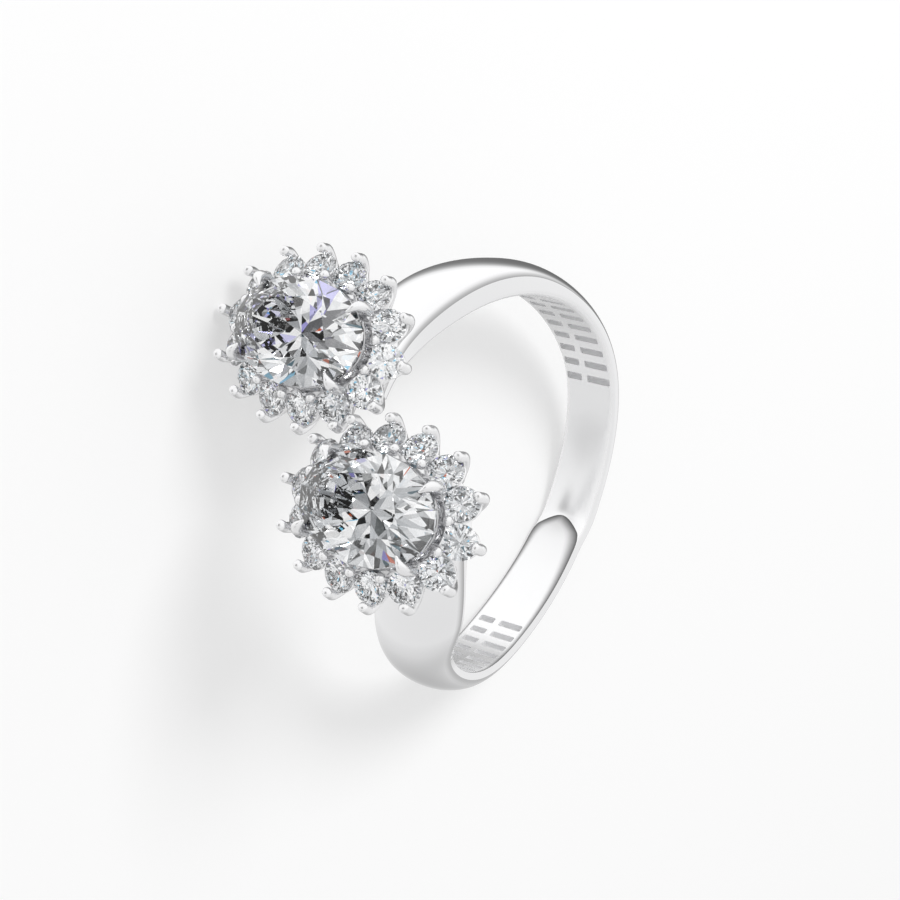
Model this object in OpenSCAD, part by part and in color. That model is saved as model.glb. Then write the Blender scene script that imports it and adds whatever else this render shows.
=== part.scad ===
// Two-headed oval halo ring in polished white metal, lying on its side.
// The ring is drawn about its finger axis, which is Z, with the stones facing -Y,
// and is then tipped onto the three points that it rests on.

/* [Ring size] */
// Inner diameter of the finger hole
finger_d = 17.3; // [16.5:0.1:18.9]
// Length of the cut that bores the finger hole
finger_cut = 20; // [18:1:24]

/* [Shank] */
// Share of the half width that stays flat inside, before the edge rounds off
inner_flat = 0.8; // [0.7:0.05:0.9]
// Rounding of the inner face at the back of the ring, at its edges
back_round = 0.28; // [0.2:0.01:0.35]
// Metal that the finger cut takes from the shoulder of the upper head
bore_bite = 0.35; // [0.3:0.01:0.4]
// Angle from the crown at which each shoulder ends, under its head
shoulder_end = 9; // [9:1:12]
// Angle between two neighbouring sections of the band
section_step = 6; // [5:1:9]

/* [Pockets inside the shoulders] */
// Number of pockets in each row
pocket_count = 8; // [4:1:9]
// Angle between two pockets
pocket_pitch = 6; // [5.5:0.5:6.5]
// Angle from the crown of the pocket furthest from the head
pocket_last = 133; // [125:1:135]
// Width of a pocket round the band
pocket_w = 0.42; // [0.3:0.02:0.5]
// Length of a pocket in the upper row, along the finger
pocket_upper_l = 1.2; // [0.8:0.05:1.25]
// Length of a pocket in the lower row
pocket_lower_l = 0.8; // [0.6:0.05:0.85]
// Metal left between the two rows
pocket_rib = 0.3; // [0.2:0.05:0.4]
// Distance of that rib below the middle of the band
pocket_rib_below = 0.2; // [0.15:0.05:0.2]
// Depth of a pocket
pocket_depth = 0.35; // [0.2:0.05:0.4]

/* [Heads] */
// Height of the halo plane above the top of the finger hole
halo_above_hole = 4.45; // [4.4:0.05:4.6]
// Sideways distance of each head from the middle of the ring
head_side = 2.98; // [2.95:0.01:3.05]
// Distance of the lower head below the middle of the band, along the finger
head_below = 3.36; // [3.3:0.02:3.5]
// Distance of the upper head above the middle of the band
head_above = 1.9; // [1.86:0.02:2]
// Turn of the heads' long axes away from the finger axis
head_turn = 4; // [3:1:5]
// Depth of the base rail below the halo plane
base_depth = 2.4; // [2.3:0.05:2.5]
// Distance of the base rail inside the oval of the halo stones
base_inset = 1.25; // [1.2:0.01:1.3]
// Depth of the collar that joins the base rail to the shoulder
collar_depth = 1.5; // [1.4:0.05:1.6]

/* [Halo] */
// Half length of the oval on which the halo stones are centred
halo_a = 3.67; // [3.67:0.01:3.7]
// Half width of that oval
halo_b = 2.87; // [2.87:0.01:2.9]
// Diameter of a halo stone
halo_stone_d = 1.4; // [1.35:0.01:1.4]
// Outward cant of a halo stone
halo_cant = 25; // [23:1:26]
// Depth of the seats' top face below the stones' girdles
seat_drop = 0.2; // [0.18:0.01:0.22]
// Radius of an outer prong
prong_r = 0.22; // [0.2:0.01:0.23]
// Radius of an inner bead
bead_r = 0.21; // [0.18:0.01:0.22]

/* [Centre stones] */
// Length of the oval centre stone
centre_l = 6.1; // [6.05:0.01:6.1]
// Width of the oval centre stone
centre_w = 4.4; // [4.35:0.01:4.4]
// Height of its girdle above the halo plane
girdle_up = 1.03; // [1.02:0.01:1.08]
// Radius of a claw beside the girdle
claw_r = 0.22; // [0.18:0.01:0.23]

/* [Resting pose] */
// Tilt about the X axis from standing on the flat of the band
rest_tip = -16.4; // [-20:0.1:-10]
// Tilt about the Y axis
rest_roll = 0.7; // [-10:0.1:10]
// Move of the finger hole's middle that sets the ring down, centred over the origin
rest_place = [0.07, 3.04, 4.05]; // [-10:0.01:10]

/* [Hidden] */
finger_r = finger_d / 2;
halo_height = finger_r + halo_above_hole;
halo_r = halo_stone_d / 2;
clearance = 0.05;
metal_colour = [0.86, 0.87, 0.88];
stone_colour = [0.92, 0.95, 0.98];

// The halo's claws and beads are placed by stone number, so the count of stones is fixed
halo_count = 14;
halo_numbers = [for (i = [1 : halo_count]) str(i < 10 ? "0" : "", i)];

// One row for each section of the band, from the lower head's shoulder round the back to the
// upper head's shoulder. Columns: angle from the crown, offset along the finger, half width,
// height at the middle of the dome, rise of the inner face off the finger hole, height of the
// crisp side wall on the upper side and on the lower side
BAND = [[9, -2.1, 1.1, 0.72, 1.3, 0.5, 0.4],
        [25, -2.72, 1.48, 1.46, 0.32, 0.9, 0.4],
        [45, -2.34, 1.83, 1.84, 0.06, 1.07, 0.44],
        [70, -1.17, 1.55, 1.46, 0.03, 0.9, 0.55],
        [100, -0.18, 1.55, 1.18, 0.03, 0.5, 0.69],
        [135, 0.4, 1.32, 1.2, 0.03, 0.6, 0.85],
        [180, -0.05, 1.34, 1.3, 0.03, 0.8, 0.8],
        [225, -0.49, 1.4, 1.3, 0.03, 0.85, 0.6],
        [260, -0.11, 1.38, 1.42, 0.03, 0.69, 0.5],
        [290, 0.28, 1.55, 1.55, 0.03, 0.55, 0.9],
        [315, 1.3, 1.95, 1.5, 0.03, 0.47, 1.1],
        [335, 1.9, 1.56, 1.4, 0.15, 0.47, 1.07],
        [351, 2.1, 1.1, 1.2, 0.8, 0.5, 0.9]];
BAND_ANGLE = 0;
BAND_OFFSET = 1;
BAND_HALF_WIDTH = 2;
BAND_HEIGHT = 3;
BAND_RISE = 4;
BAND_UPPER_WALL = 5;
BAND_LOWER_WALL = 6;

// Smooth value of one column of the band table
function band_slope(col, i) =
    i == 0 || i == len(BAND) - 1 ? 0
    : (BAND[i + 1][col] - BAND[i - 1][col]) / (BAND[i + 1][BAND_ANGLE] - BAND[i - 1][BAND_ANGLE]);
function band_row(angle) =
    max([for (i = [0 : len(BAND) - 2]) if (BAND[i][BAND_ANGLE] <= angle || i == 0) i]);
function band_value(col, angle) =
    let (i = band_row(angle), step = BAND[i + 1][BAND_ANGLE] - BAND[i][BAND_ANGLE],
         t = (angle - BAND[i][BAND_ANGLE]) / step)
    (2 * pow(t, 3) - 3 * pow(t, 2) + 1) * BAND[i][col] + (3 * pow(t, 2) - 2 * pow(t, 3)) * BAND[i + 1][col]
    + (pow(t, 3) - 2 * pow(t, 2) + t) * step * band_slope(col, i)
    + (pow(t, 3) - pow(t, 2)) * step * band_slope(col, i + 1);
function band_offset(angle) = band_value(BAND_OFFSET, angle);

// From 0 before the angle "from" to 1 after the angle "to"
function ramp(from, to, angle) = let (t = max(0, min(1, (angle - from) / (to - from)))) t * t * (3 - 2 * t);

// The inner face is round across at the back. From there to the upper head it reaches into the
// finger hole, which cuts it with a crisp edge that starts in a round tip near the back.
function inner_round(angle) = back_round * (1 - ramp(0, 45, abs(angle - 180)));
function inner_radius(angle) = finger_r + band_value(BAND_RISE, angle) - bore_bite * ramp(180, 192, angle);

// A point of the ring: angle from the crown, distance from the finger axis, place along it
function ring_point(angle, radius, along) = [-radius * sin(angle), -radius * cos(angle), along];

// Section of the band as [share of the half width, height above the inner face]
function band_section(angle) =
    let (low = inner_round(angle),
         upper = band_value(BAND_UPPER_WALL, angle),
         lower = band_value(BAND_LOWER_WALL, angle),
         middle = (upper + lower) / 2,
         lean = (upper - lower) / 2,
         dome = band_value(BAND_HEIGHT, angle) - middle)
    concat([for (s = [-inner_flat, -0.4, 0, 0.4, inner_flat]) [s, low * s * s]],
           [[0.96, low + 0.14], [1, low + 0.3], [1, upper]],
           [for (s = [0.84, 0.5, 0, -0.5, -0.84]) [s, middle + lean * s + dome * pow(1 - s * s, 0.6)]],
           [[-1, lower], [-1, low + 0.3], [-0.96, low + 0.14]]);

// Closed tube through rings of equal point counts, with flat ends
module skin(rings) {
    count = len(rings[0]);
    last = len(rings) - 1;
    polyhedron(
        points = [for (ring = rings) each ring],
        faces = concat(
            [[for (i = [count - 1 : -1 : 0]) i]],
            [for (r = [0 : last - 1], i = [0 : count - 1])
                [r * count + i, r * count + (i + 1) % count,
                 (r + 1) * count + (i + 1) % count, (r + 1) * count + i]],
            [[for (i = [0 : count - 1]) last * count + i]]),
        convexity = 6);
}

// Wire along a path in the XZ plane. Columns of a row: place outward, place upward,
// half thickness across the path, half width along the Y axis
WIRE_THICK = 2;
WIRE_WIDE = 3;
function wire_place(row) = [row[0], row[1]];
module wire(rows, sides) {
    last = len(rows) - 1;
    skin([for (i = [0 : last])
        let (step = wire_place(rows[min(i + 1, last)]) - wire_place(rows[max(i - 1, 0)]),
             along = step / norm(step))
        [for (k = [0 : sides - 1])
            let (turn = 360 * (k + 0.5) / sides,
                 across = rows[i][WIRE_THICK] * cos(turn),
                 place = wire_place(rows[i]) + across * [-along[1], along[0]])
            [place[0], rows[i][WIRE_WIDE] * sin(turn), place[1]]]]);
}

// Closed ring through sections of equal point counts
module loop_skin(rings) {
    steps = len(rings);
    count = len(rings[0]);
    polyhedron(
        points = [for (ring = rings) each ring],
        faces = [for (i = [0 : steps - 1], k = [0 : count - 1])
            [i * count + k, i * count + (k + 1) % count,
             ((i + 1) % steps) * count + (k + 1) % count, ((i + 1) % steps) * count + k]],
        convexity = 6);
}

// Section of an oval ring at angle t, from an outline of [outward, up] points
function oval_section(a, b, t, outline) =
    let (out = oval_normal(a, b, t))
    [for (p = outline) [a * cos(t) + p[0] * out[0], b * sin(t) + p[0] * out[1], p[1]]];

// Outward unit normal of an oval, and the angle parameter at an equal share of its edge
function oval_normal(a, b, t) = [b * cos(t), a * sin(t)] / norm([b * cos(t), a * sin(t)]);
function oval_steps(a, b, count = 240) =
    [for (i = 0, run = 0; i <= count;
          run = run + norm([a * sin(360 * (i + 0.5) / count), b * cos(360 * (i + 0.5) / count)])
                      * 2 * PI / count, i = i + 1)
        [run, 360 * i / count]];
halo_run = oval_steps(halo_a, halo_b);
halo_edge = halo_run[len(halo_run) - 1][0];
function halo_angle(k) = lookup(k / halo_count * halo_edge, halo_run);

// Places its children at stone k of the halo, with X pointing outward from the oval
module at_halo(k) {
    t = halo_angle(k);
    out = oval_normal(halo_a, halo_b, t);
    translate([halo_a * cos(t), halo_b * sin(t), 0]) rotate([0, 0, atan2(out[1], out[0])]) children();
}

// Claws stand in these gaps between halo stones, and beads fill the other gaps
claw_gaps = [1.5, 5.5, 8.5, 12.5];
bead_gaps = [for (k = [0 : halo_count - 1]) if (len(search(k + 0.5, claw_gaps)) == 0) k + 0.5];

// Cut stone: an oval table, a crown of kites and triangles, a girdle and a pointed pavilion
module cut_stone(a, b, table, crown, girdle, pavilion, sides) {
    half = sides / 2;
    top = half;
    low = half + sides;
    culet = half + 2 * sides;
    function loop(share, z, count, shift) =
        [for (i = [0 : count - 1]) let (t = 360 * (i + shift) / count)
            [a * share * cos(t), b * share * sin(t), z]];
    polyhedron(
        points = concat(loop(table, girdle / 2 + crown, half, 0.5),
                        loop(1, girdle / 2, sides, 0),
                        loop(1, -girdle / 2, sides, 0),
                        [[0, 0, -girdle / 2 - pavilion]]),
        faces = concat(
            [[for (i = [half - 1 : -1 : 0]) i]],
            [for (i = [0 : half - 1]) each [
                [i, top + 2 * i + 1, top + 2 * i],
                [i, top + (2 * i + 2) % sides, top + 2 * i + 1],
                [i, (i + 1) % half, top + (2 * i + 2) % sides]]],
            [for (i = [0 : sides - 1]) each [
                [top + i, top + (i + 1) % sides, low + (i + 1) % sides, low + i],
                [low + i, low + (i + 1) % sides, culet]]]));
}

module halo_stone_shape() {
    cut_stone(a = halo_r, b = halo_r, table = 0.56, crown = 0.15 * halo_stone_d, girdle = 0.05,
              pavilion = 0.42 * halo_stone_d, sides = 16);
}

module centre_stone_shape() {
    cut_stone(a = centre_l / 2, b = centre_w / 2, table = 0.58, crown = 0.16 * centre_w, girdle = 0.12,
              pavilion = 0.42 * centre_w, sides = 32);
}

// Place of the seats' top face, which is canted as the stones are
function seat_top(out) = -seat_drop - out * tan(halo_cant);

// Seats of the halo stones, scalloped round them, with the polished rail that stands inside them
// under the centre stone's girdle. Sections stand at the stones, at the gaps and halfway between.
module seats_and_rail() {
    rail_out = -halo_r + 0.01;
    rail_in = rail_out - 0.31;
    rail_top = girdle_up - 0.16;
    scallops = [halo_r - 0.06, 0.55, 0.2, 0.55];
    loop_skin([for (i = [0 : 4 * halo_count - 1]) let (edge = scallops[i % 4])
        oval_section(halo_a, halo_b, halo_angle(i / 4),
                     [[edge, seat_top(edge)], [rail_out, seat_top(rail_out)], [rail_out, rail_top],
                      [rail_in, rail_top - 0.27], [rail_in, -0.5], [edge - 0.25, seat_top(edge) - 0.35]])]);
}

// Hole that a stone's pavilion drops into, open below
module seat_hole() {
    sides = 8;
    rim_drop = seat_drop * cos(halo_cant) - 0.02;
    rim = (0.77 * halo_r + clearance) / cos(180 / sides);
    waist = 0.31;
    waist_drop = 0.42;
    function loop(radius, drop) = [for (i = [0 : sides - 1]) let (t = 360 * (i + 0.5) / sides)
        [radius * cos(t), radius * sin(t), -drop]];
    skin([loop(rim, rim_drop), loop(waist, waist_drop), loop(waist, waist_drop + 0.5)]);
}

// Base rail, with the collar below it that joins it to the shoulder. Its sections stand between
// the prongs, so that each prong rises from a flat stretch.
module head_base() {
    rail = -base_inset;
    low = -base_depth - collar_depth;
    loop_skin([for (i = [0 : 2 * halo_count - 1])
        oval_section(halo_a, halo_b, halo_angle(i / 2 + 0.25),
                     [[rail + 0.28, -base_depth - 0.1], [rail + 0.12, -base_depth + 0.24],
                      [rail - 0.2, -base_depth + 0.24], [rail - 0.4, -base_depth - 0.1],
                      [rail - 0.85, low], [rail - 0.35, low]])]);
}

// Rod that bulges out from the base rail to its domed tip at a stone's outer edge. It is thinner
// towards the stone, where the real one is notched for the girdle.
module outer_prong() {
    wide = prong_r;
    thick = 0.77 * prong_r;
    wire([[-base_inset, -base_depth, thick, wide], [-0.35, -1.5, thick, wide], [0.4, -0.85, thick, wide],
          [0.835, -0.34, thick, wide], [0.76, 0.2, thick, wide], [0.74, 0.29, 0.7 * thick, 0.7 * wide]], 6);
}

// Bead on a thin stem between the inner edges of two stones
module inner_bead() {
    wire([[-0.5, -0.2, 0.1, 0.1], [-0.42, 0.42, 0.1, 0.08], [-0.375, 0.56, bead_r, bead_r],
          [-0.375, 0.71, bead_r * 0.6, bead_r * 0.6]], 6);
}

// Claw that rises between two stones and bends in over the centre stone's crown
module claw() {
    wire([[-0.5, -0.3, 0.12, 0.1], [-0.46, 0.36, 0.12, 0.08], [-0.38, 0.56, claw_r - 0.02, claw_r + 0.03],
          [-0.36, 1.16, claw_r, claw_r + 0.03], [-0.52, 1.42, claw_r - 0.03, claw_r - 0.02],
          [-0.84, 1.52, 0.06, 0.07]], 6);
}

// One head, with its halo plane at Z 0 and its long axis along X
module head_metal() {
    head_base();
    difference() {
        seats_and_rail();
        for (k = [0 : halo_count - 1]) at_halo(k) rotate([0, halo_cant, 0]) seat_hole();
    }
    for (k = [0 : halo_count - 1]) at_halo(k) outer_prong();
    for (k = bead_gaps) at_halo(k) inner_bead();
    for (k = claw_gaps) at_halo(k) claw();
}

// Puts a head on its shoulder: the upper head is the one further up the finger axis
module at_head(upper) {
    side = upper ? 1 : -1;
    translate([side * head_side, -halo_height, upper ? head_above : -head_below])
        rotate([90, 0, 0]) rotate([0, 0, 90 - head_turn]) children();
}

module band() {
    count = round((360 - 2 * shoulder_end) / section_step);
    skin([for (i = [0 : count])
        let (angle = shoulder_end + (360 - 2 * shoulder_end) * i / count,
             half = band_value(BAND_HALF_WIDTH, angle))
        [for (p = band_section(angle))
            ring_point(angle, inner_radius(angle) + p[1], band_offset(angle) + p[0] * half)]]);
}

// One blind pocket, cut outward from the finger hole
module pocket(angle, low, length) {
    start = finger_r - bore_bite - 0.15;
    rotate([0, 0, -90 - angle]) translate([start, -pocket_w / 2, band_offset(angle) + low])
        cube([finger_r + pocket_depth - start, pocket_w, length]);
}

module shoulder_pockets() {
    for (i = [0 : pocket_count - 1], side = [-1, 1]) {
        angle = 180 + side * (180 - pocket_last + i * pocket_pitch);
        pocket(angle, pocket_rib / 2 - pocket_rib_below, pocket_upper_l);
        pocket(angle, -pocket_rib / 2 - pocket_rib_below - pocket_lower_l, pocket_lower_l);
    }
}

// Lays the ring on its side, in the pose in which it rests
module laid() {
    translate(rest_place) rotate([rest_tip, rest_roll, 0]) children();
}

// The soldered metal, as one solid: minkowski() of one child melts the pieces into one faceted
// shape. The finger hole is bored last, so its wall is true.
module ring_metal() {
    color(metal_colour) laid() difference() {
        minkowski() {
            union() {
                difference() {
                    band();
                    shoulder_pockets();
                }
                at_head(true) head_metal();
                at_head(false) head_metal();
            }
        }
        cylinder(r = finger_r, h = finger_cut, center = true, $fn = 128);
    }
}

module centre_stone(upper) {
    color(stone_colour) laid() at_head(upper) translate([0, 0, girdle_up]) centre_stone_shape();
}

module halo_stone(upper, k) {
    color(stone_colour) laid() at_head(upper) at_halo(k) rotate([0, halo_cant, 0]) halo_stone_shape();
}

ring_metal();
centre_stone(true);  // centre_stone_upper
centre_stone(false);  // centre_stone_lower
for (k = [0 : halo_count - 1]) {
    halo_stone(true, k);
    halo_stone(false, k);
}
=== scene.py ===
# Looks of a two-headed oval halo ring in polished white metal, lying on its side on a pale floor.
# Sizes are in millimetres. The ring is drawn about its finger axis, which is Z, with the stones
# facing -Y, as in the part's source, and is then laid down as it rests.
import math
import random

import bmesh
import bpy
from mathutils import Matrix, Vector


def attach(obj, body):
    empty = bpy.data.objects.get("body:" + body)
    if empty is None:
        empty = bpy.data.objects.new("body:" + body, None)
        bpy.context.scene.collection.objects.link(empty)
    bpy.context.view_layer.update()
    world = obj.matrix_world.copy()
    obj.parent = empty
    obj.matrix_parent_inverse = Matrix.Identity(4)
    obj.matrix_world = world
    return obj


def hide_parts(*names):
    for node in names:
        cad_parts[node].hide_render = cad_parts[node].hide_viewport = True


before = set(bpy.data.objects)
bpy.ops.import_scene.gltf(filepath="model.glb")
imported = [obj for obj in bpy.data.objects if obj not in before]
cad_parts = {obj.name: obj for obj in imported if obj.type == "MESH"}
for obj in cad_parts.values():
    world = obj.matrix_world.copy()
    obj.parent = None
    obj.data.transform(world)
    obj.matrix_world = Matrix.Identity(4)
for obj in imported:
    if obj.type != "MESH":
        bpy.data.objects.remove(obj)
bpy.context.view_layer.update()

MM = 0.001

# Ring size
FINGER_R = 8.65

# Shank, from the lower head's shoulder round the back to the upper head's shoulder. Columns:
# angle from the crown, offset along the finger, half width, height at the middle of the dome,
# rise of the inner face off the finger hole, height of the side wall on the upper and lower side
BAND = [(9, -2.1, 1.1, 0.72, 1.3, 0.5, 0.4),
        (25, -2.72, 1.48, 1.46, 0.32, 0.9, 0.4),
        (45, -2.34, 1.83, 1.84, 0.06, 1.07, 0.44),
        (70, -1.17, 1.55, 1.46, 0.03, 0.9, 0.55),
        (100, -0.18, 1.55, 1.18, 0.03, 0.5, 0.69),
        (135, 0.4, 1.32, 1.2, 0.03, 0.6, 0.85),
        (180, -0.05, 1.34, 1.3, 0.03, 0.8, 0.8),
        (225, -0.49, 1.4, 1.3, 0.03, 0.85, 0.6),
        (260, -0.11, 1.38, 1.42, 0.03, 0.69, 0.5),
        (290, 0.28, 1.55, 1.55, 0.03, 0.55, 0.9),
        (315, 1.3, 1.95, 1.5, 0.03, 0.47, 1.1),
        (335, 1.9, 1.56, 1.4, 0.15, 0.47, 1.07),
        (351, 2.1, 1.1, 1.2, 0.8, 0.5, 0.9)]
ANGLE, OFFSET, HALF_WIDTH, HEIGHT, RISE, UPPER_WALL, LOWER_WALL = range(7)
INNER_FLAT = 0.8
EDGE_ROUNDING = 0.3
BACK_ROUND = 0.28
BORE_BITE = 0.35
CUT_TIP = 181
DOME_POWER = 0.6
SHOULDER_END = 9

# Pockets inside the shoulders
POCKET_COUNT = 8
POCKET_PITCH = 6
POCKET_LAST = 133
POCKET_WIDTH = 0.42
POCKET_UPPER_LENGTH = 1.2
POCKET_LOWER_LENGTH = 0.8
POCKET_RIB = 0.3
POCKET_RIB_BELOW = 0.2
POCKET_DEPTH = 0.35

# Heads
HALO_HEIGHT = FINGER_R + 4.45
HEAD_SIDE = 2.98
HEAD_BELOW = 3.36
HEAD_ABOVE = 1.9
HEAD_TURN = 4
BASE_DEPTH = 2.4
BASE_INSET = 1.25
COLLAR_DEPTH = 1.5

# Halo
HALO_COUNT = 14
HALO_A = 3.67
HALO_B = 2.87
HALO_R = 0.7
HALO_CANT = math.radians(25)
STONE_TURN = 37
SEAT_DROP = 0.2
SEAT_CLEARANCE = 0.05
PRONG_R = 0.22
BEAD_R = 0.21
CLAW_R = 0.22
CLAW_GAPS = (1.5, 5.5, 8.5, 12.5)
BEAD_GAPS = [k + 0.5 for k in range(HALO_COUNT) if k + 0.5 not in CLAW_GAPS]

# Centre stones
CENTRE_LENGTH = 6.1
CENTRE_WIDTH = 4.4
GIRDLE_UP = 1.03

# Resting pose
REST_TIP = -16.4
REST_ROLL = 0.7
REST_PLACE = (0.07, 3.04, 4.05)

# The photograph's view: the heads' axes and their middle as its camera sees them,
# with x to the right, y up and z towards the camera
SEEN_LONG_AXIS = Vector((0.837, -0.289, 0.464))
SEEN_STONES_UP = Vector((-0.429, 0.178, 0.885))
SEEN_MIDDLE = Vector((-4.13, 1.05, -65.65))
LENS = 67.18
SENSOR_WIDTH = 36

# White metal. Columns: tone, its shade in the polish's clouds, least roughness, most roughness,
# relief of the polishing lines, metallic
METALS = {"shank": ((0.94, 0.94, 0.945, 1), (0.91, 0.91, 0.92, 1), 0.03, 0.07, 0.02, 1.0),
          "inside": ((0.94, 0.94, 0.945, 1), (0.91, 0.91, 0.92, 1), 0.2, 0.28, 0.02, 0.6),
          "pocket": ((0.86, 0.86, 0.865, 1), (0.8, 0.8, 0.81, 1), 0.3, 0.4, 0.05, 0.3),
          "head": ((0.93, 0.93, 0.935, 1), (0.88, 0.88, 0.89, 1), 0.2, 0.28, 0.02, 1.0),
          "rail": ((0.6, 0.6, 0.61, 1), (0.48, 0.48, 0.49, 1), 0.08, 0.14, 0.02, 1.0)}

# Painted shade along the rim of the finger hole's cut and along the dome's creases, darkening the metal's
# colour: how dark it is from the rim (0) to its end (1). Widths are in millimetres, and runs past the cut's
# tip in degrees.
RIM_SHADES = [(0.0, 0.13), (0.14, 0.25), (0.4, 0.5), (0.75, 0.86), (1.0, 1.0)]
CUT_SHADE_WIDTH = 1.2
CUT_SHADE_RUN_ABOVE = 12
CUT_SHADE_RUN_BELOW = 4.8
CREASE_SHADE_WIDTH = 0.25
CREASE_SHADE_START = 0.4
UNSHADED = 2.0

# Crown of the stones
CROWN_TINT = (0.985, 0.99, 1, 1)
CROWN_IOR = 2.15
CROWN_SHINE = 0.1

# Share at which each painted reflection on the stones' pavilion facets starts: whites, greys and dark tones
# for the light and shade a real stone throws back, and a few colours of painted fire
CENTRE_STONE_PAINTED_REFLECTIONS = [(0.0, (1, 1, 1)), (0.5, (0.84, 0.85, 0.86)), (0.72, (0.6, 0.61, 0.62)),
                       (0.84, (0.25, 0.25, 0.26)), (0.93, (1, 1, 1)), (0.97, (0.62, 0.6, 0.95)),
                       (0.99, (0.6, 0.85, 0.9))]
HALO_STONE_PAINTED_REFLECTIONS = [(0.0, (1, 1, 1)), (0.6, (0.9, 0.91, 0.92)), (0.82, (0.6, 0.61, 0.62)),
                     (0.92, (1, 1, 1)), (0.97, (0.8, 0.9, 0.95))]

# Share at which each shard of light that the stones mirror starts: white, greys, black, white
# again, then the colours of their fire
SHARDS = [(0.0, (1, 1, 1)), (0.35, (0.86, 0.87, 0.88)), (0.49, (0.5, 0.51, 0.52)),
          (0.59, (0.14, 0.15, 0.15)), (0.68, (0.001, 0.001, 0.001)), (0.85, (1, 1, 1)),
          (0.94, (0.25, 0.22, 0.6)), (0.96, (0.2, 0.6, 0.85)), (0.972, (0.02, 0.1, 0.14)),
          (0.986, (0.6, 0.1, 0.02))]
SHARD_SCALE = 8.0
SHARD_SHIFT = (3.1, 2.2, 0.7)

# What the metal mirrors, as greys from the way opposite (0) to the way named (1). Ways are the
# camera's: x to the right, y up, z towards it. The cards are, in turn, the grey on the inside of
# the band, the one under the photograph's lower shoulder, and the one that the tables mirror.
BACKDROP_WAY = (0.2, 0.38, -0.9)
BACKDROP_GREYS = [(0.0, 1.0), (0.86, 1.0), (0.9, 0.84), (0.925, 0.55), (0.95, 0.32), (0.975, 0.2),
                  (1.0, 0.16)]
UNDER_WAY = (0, -1, 0)
UNDER_GREYS = [(0.0, 1.1), (0.35, 1.05), (0.5, 0.92), (0.7, 0.86), (1.0, 0.8)]
CARDS = [((-0.776, -0.403, 0.485), [(0.0, 1.0), (0.97, 1.0), (0.988, 0.8), (1.0, 0.7)]),
         ((-0.05, -0.6, -0.8), [(0.0, 1.0), (0.9, 1.0), (0.95, 0.86), (0.985, 0.68), (1.0, 0.6)]),
         ((-0.76, 0.315, 0.568), [(0.0, 1.0), (0.989, 1.0), (0.992, 0.6), (0.9945, 0.2), (1.0, 0.12)])]

# Light
PLAIN_LIGHT = (0.72, 0.72, 0.72)
FLOOR_GLOW = 0.44
FLOOR_TONES = (0.5, 0.5, 0.5, 1), (0.51, 0.51, 0.51, 1)
KEY_PLACE, KEY_TARGET, KEY_SIZE, KEY_POWER = (-195, -50, 235), (0, 0, 5), 130, 0.45


# Frames

def turn(degrees, axis):
    return Matrix.Rotation(math.radians(degrees), 4, axis)


def ring_to_row():
    """From the ring's frame in millimetres to the row frame in metres."""
    return Matrix.Scale(MM, 4) @ Matrix.Translation(REST_PLACE) @ turn(REST_ROLL, "Y") @ turn(REST_TIP, "X")


def head_to_ring(upper):
    """From a head's frame, with its long axis along X and its stones facing Z, to the ring's."""
    place = (HEAD_SIDE, -HALO_HEIGHT, HEAD_ABOVE) if upper else (-HEAD_SIDE, -HALO_HEIGHT, -HEAD_BELOW)
    return Matrix.Translation(place) @ turn(90, "X") @ turn(90 - HEAD_TURN, "Z")


def oval_normal(a, b, t):
    return Vector((b * math.cos(t), a * math.sin(t))).normalized()


def halo_angles():
    """The oval's angle parameter at quarter steps from one halo stone to the next, along its edge."""
    fine = 2400
    run = [0.0]
    for i in range(fine):
        t = 2 * math.pi * (i + 0.5) / fine
        run.append(run[-1] + math.hypot(HALO_A * math.sin(t), HALO_B * math.cos(t)))
    return [2 * math.pi * i / fine for i in range(fine + 1)], [r / run[-1] for r in run]


HALO_TURNS, HALO_SHARES = halo_angles()


def halo_angle(k):
    """The oval's angle parameter at stone k, which may lie between two stones."""
    share = (k / HALO_COUNT) % 1
    low, high = 0, len(HALO_SHARES) - 1
    while high - low > 1:
        middle = (low + high) // 2
        low, high = (middle, high) if HALO_SHARES[middle] <= share else (low, middle)
    part = (share - HALO_SHARES[low]) / (HALO_SHARES[high] - HALO_SHARES[low])
    return HALO_TURNS[low] + part * (HALO_TURNS[high] - HALO_TURNS[low])


def halo_centre(k):
    t = halo_angle(k)
    return Vector((HALO_A * math.cos(t), HALO_B * math.sin(t)))


def halo_to_head(k, cant=0.0):
    """From the frame of stone k, with X pointing out of the oval, to its head's."""
    out = oval_normal(HALO_A, HALO_B, halo_angle(k))
    return (Matrix.Translation(halo_centre(k).to_3d()) @ Matrix.Rotation(math.atan2(out.y, out.x), 4, "Z")
            @ Matrix.Rotation(cant, 4, "Y"))


# Meshes

class Shape:
    """Points and faces of a piece while it is put together."""

    def __init__(self):
        self.points = []
        self.faces = []

    def skin(self, rings, place=Matrix(), around=False, closed_end=True):
        """A tube through rings of equal point counts, or a ring of them."""
        first = len(self.points)
        count = len(rings[0])
        self.points += [place @ Vector(p) for ring in rings for p in ring]
        for r in range(len(rings) if around else len(rings) - 1):
            this, following = first + r * count, first + (r + 1) % len(rings) * count
            for i in range(count):
                j = (i + 1) % count
                self.faces.append((this + i, this + j, following + j, following + i))
        if not around and closed_end:
            self.faces.append(tuple(first + i for i in reversed(range(count))))
            self.faces.append(tuple(first + (len(rings) - 1) * count + i for i in range(count)))

    def mesh(self, name):
        mesh = bpy.data.meshes.new(name)
        mesh.from_pydata(self.points, [], self.faces)
        return turn_faces_out(mesh, merge=1e-5)


def turn_faces_out(mesh, merge=None):
    """Turns the faces outward, after points closer than the merge distance are made one."""
    work = bmesh.new()
    work.from_mesh(mesh)
    if merge:
        bmesh.ops.remove_doubles(work, verts=work.verts, dist=merge)
    bmesh.ops.recalc_face_normals(work, faces=work.faces)
    work.to_mesh(mesh)
    work.free()
    return mesh


def linked(name, mesh):
    made = bpy.data.objects.new(name, mesh)
    bpy.context.scene.collection.objects.link(made)
    return made


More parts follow.
